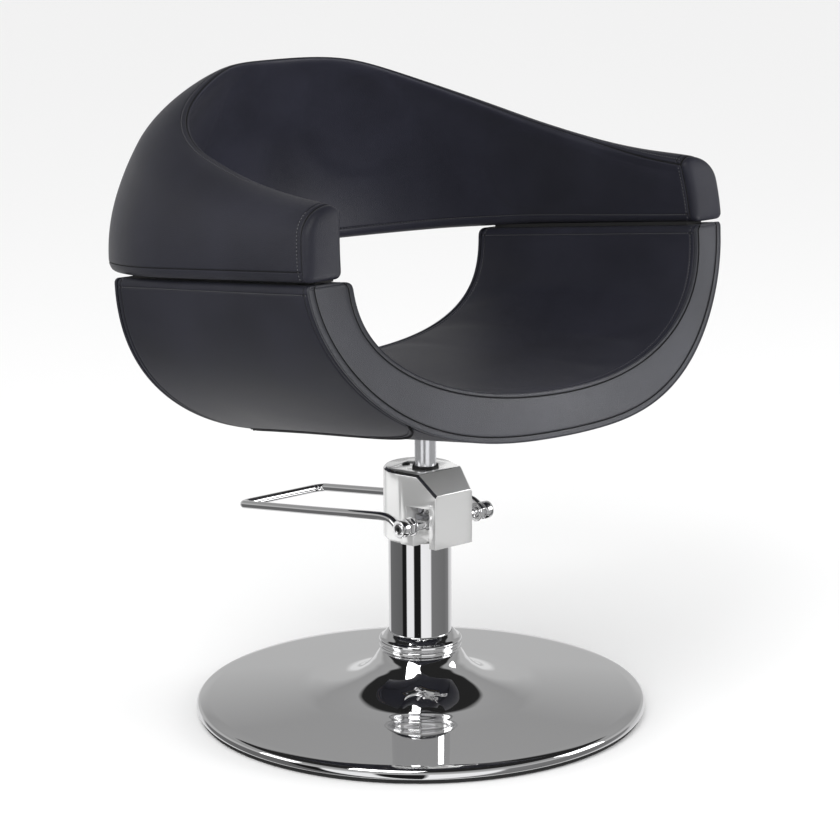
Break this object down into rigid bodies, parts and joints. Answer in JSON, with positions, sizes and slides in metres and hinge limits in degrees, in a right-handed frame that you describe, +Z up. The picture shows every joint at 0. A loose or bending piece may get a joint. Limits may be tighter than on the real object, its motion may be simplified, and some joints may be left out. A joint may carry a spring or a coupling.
{
  "type": "styling chair",
  "caption": "Hair-salon styling chair: U-shaped padded seat tub under a wrap-round arm and back band, on a hydraulic column with a foot loop and a round dished base.",
  "frame": {"origin": "on the floor under the centre of the round base, on the column's axis", "axes": "+Z up; the sitter faces -Y; +X is the sitter's left"},
  "size_m": [0.68, 0.7118, 0.8282],
  "materials": {
    "chrome": "mirror polished",
    "rod_chrome": "ground and polished",
    "steel": "machined",
    "black_steel": "satin black paint",
    "black_screw": "black oxide",
    "cast_iron": "painted",
    "rubber": "matte",
    "plywood": "raw",
    "black_plastic": "matte",
    "leather": "fine grained, soft sheen",
    "leather_facing": "fine grained, soft sheen"
  },
  "bodies": {
    "base": {"base_disc": "chrome", "rim_rubber": "rubber", "ballast_plate": "cast_iron", "pump_flange": "steel", "flange_bolts": "steel", "collar_ring": "chrome", "column_cover": "chrome", "pump_cylinder": "steel", "pump_head": "chrome", "rod_gland": "rubber", "filler_screw": "black_screw"},
    "lift": {"piston_rod": "rod_chrome", "piston": "steel", "piston_seal": "rubber", "piston_nut": "steel"},
    "pedal": {"pedal_shaft": "steel", "pedal_eyes": "chrome", "pedal_nuts": "chrome", "pedal_cam": "steel", "pedal_loop": "chrome"},
    "plunger": {"pump_plunger": "steel"},
    "seat": {"seat_hub": "black_steel", "seat_plate": "black_steel", "plate_bolts": "steel", "mount_board": "plywood", "tub_cover": "leather", "tub_frame": "plywood", "tub_pad": "leather", "tub_facing": "leather_facing", "tub_rear_facing": "leather", "arm_spacers": "black_plastic", "arm_studs": "steel", "band_frame": "plywood", "band_cover": "leather", "band_pad": "leather", "arm_cap_left": "leather_facing", "arm_cap_right": "leather_facing"}
  },
  "joints": [
    {"name": "lift_slide", "type": "slide", "parent": "base", "child": "lift", "axis": [0, 0, 1], "range_m": [-0.015, 0.135]},
    {"name": "seat_swivel", "type": "hinge", "parent": "lift", "child": "seat", "pos_m": [0, -0.012, 0.4], "axis": [0, 0, 1], "continuous": true},
    {"name": "pedal_hinge", "type": "hinge", "parent": "base", "child": "pedal", "pos_m": [0, -0.048, 0.265], "axis": [1, 0, 0], "range_deg": [-20, 8], "stiffness_Nm_per_rad": 12, "springref_deg": 6.88},
    {"name": "plunger_slide", "type": "slide", "parent": "base", "child": "plunger", "axis": [0, 0, 1], "range_m": [-0.0064, 0.0026]}
  ],
  "couplings": [
    {"joint": "plunger_slide", "follows": "pedal_hinge", "m_per_rad": 0.018}
  ]
}
